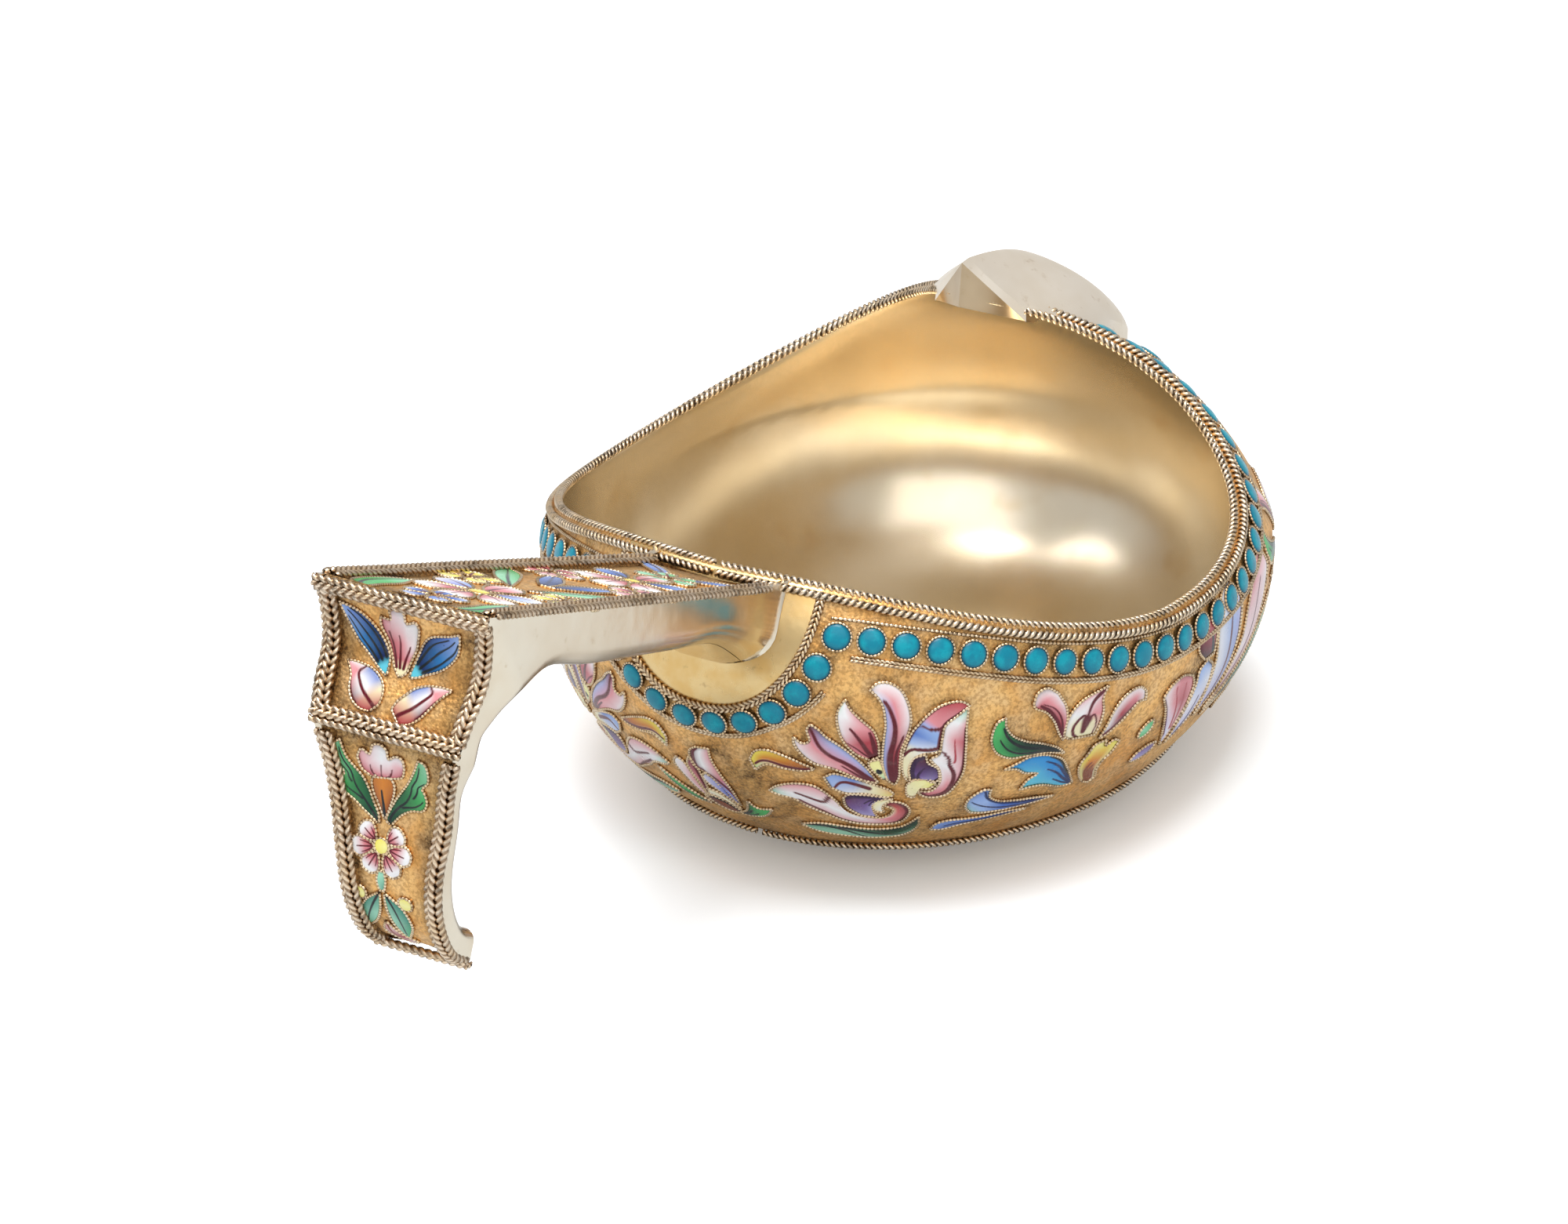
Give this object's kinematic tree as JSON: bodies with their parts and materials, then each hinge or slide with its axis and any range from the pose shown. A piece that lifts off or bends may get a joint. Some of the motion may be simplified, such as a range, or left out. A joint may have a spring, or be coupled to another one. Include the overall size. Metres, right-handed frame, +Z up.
{
  "type": "kovsh dipper",
  "caption": "Small boat-shaped silver-gilt dipper with a raised prow cap, a hooked box handle, twisted wire borders, turquoise studs and flower enamel.",
  "frame": {"origin": "middle of the flat foot, under the middle of the bowl's belly", "axes": "+Z up, +X from the handle to the prow, -Y the near side"},
  "size_m": [0.1311, 0.0668, 0.0538],
  "materials": {
    "bowl_gilt": "polished pale silver gilt",
    "cap_gilt": "polished pale silver gilt",
    "handle_silver": "polished silver with worn gilding",
    "ground_gilt": "stippled gilt ground with dark patina",
    "rope_gilt": "twisted silver-gilt wire",
    "wire_gilt": "fine twisted silver-gilt wire",
    "turquoise_enamel": "opaque turquoise glass enamel",
    "flower_enamel": "shaded glass enamel in wire cells"
  },
  "bodies": {
    "root": {"band_wire_far": "wire_gilt", "band_wire_near": "wire_gilt", "bowl_shell": "bowl_gilt", "enamel_handle_block": "flower_enamel", "enamel_handle_hook": "flower_enamel", "enamel_handle_top": "flower_enamel", "foot_wire_far": "wire_gilt", "foot_wire_near": "wire_gilt", "handle_block_plate": "ground_gilt", "handle_hook_plate": "ground_gilt", "handle_side_far": "handle_silver", "handle_side_near": "handle_silver", "handle_top_plate": "ground_gilt", "handle_underside": "handle_silver", "leaf_blue_far": "flower_enamel", "leaf_blue_near": "flower_enamel", "leaf_green_far": "flower_enamel", "leaf_green_near": "flower_enamel", "leaf_low_far": "flower_enamel", "leaf_low_near": "flower_enamel", "lunette_wire_inner": "wire_gilt", "lunette_wire_outer": "wire_gilt", "prow_cap": "cap_gilt", "prow_wire_inner": "wire_gilt", "prow_wire_outer": "wire_gilt", "rim_rope_lower_far": "rope_gilt", "rim_rope_lower_near": "rope_gilt", "rim_rope_upper_far": "rope_gilt", "rim_rope_upper_near": "rope_gilt", "rim_wire_far": "wire_gilt", "rim_wire_near": "wire_gilt", "rope_band": "rope_gilt", "rope_block_far": "rope_gilt", "rope_block_near": "rope_gilt", "rope_hook_far": "rope_gilt", "rope_hook_near": "rope_gilt", "rope_hook_tip": "rope_gilt", "rope_top_edge": "rope_gilt", "rope_top_far": "rope_gilt", "rope_top_near": "rope_gilt", "spray_bow_far": "flower_enamel", "spray_bow_near": "flower_enamel", "spray_handle": "flower_enamel", "spray_large_far": "flower_enamel", "spray_large_near": "flower_enamel", "spray_middle_far": "flower_enamel", "spray_middle_near": "flower_enamel", "spray_prow": "flower_enamel", "spray_side_far": "flower_enamel", "spray_side_near": "flower_enamel", "stud_arc_lunette": "turquoise_enamel", "stud_arc_prow": "turquoise_enamel", "stud_row_far": "turquoise_enamel", "stud_row_near": "turquoise_enamel"}
  },
  "joints": []
}
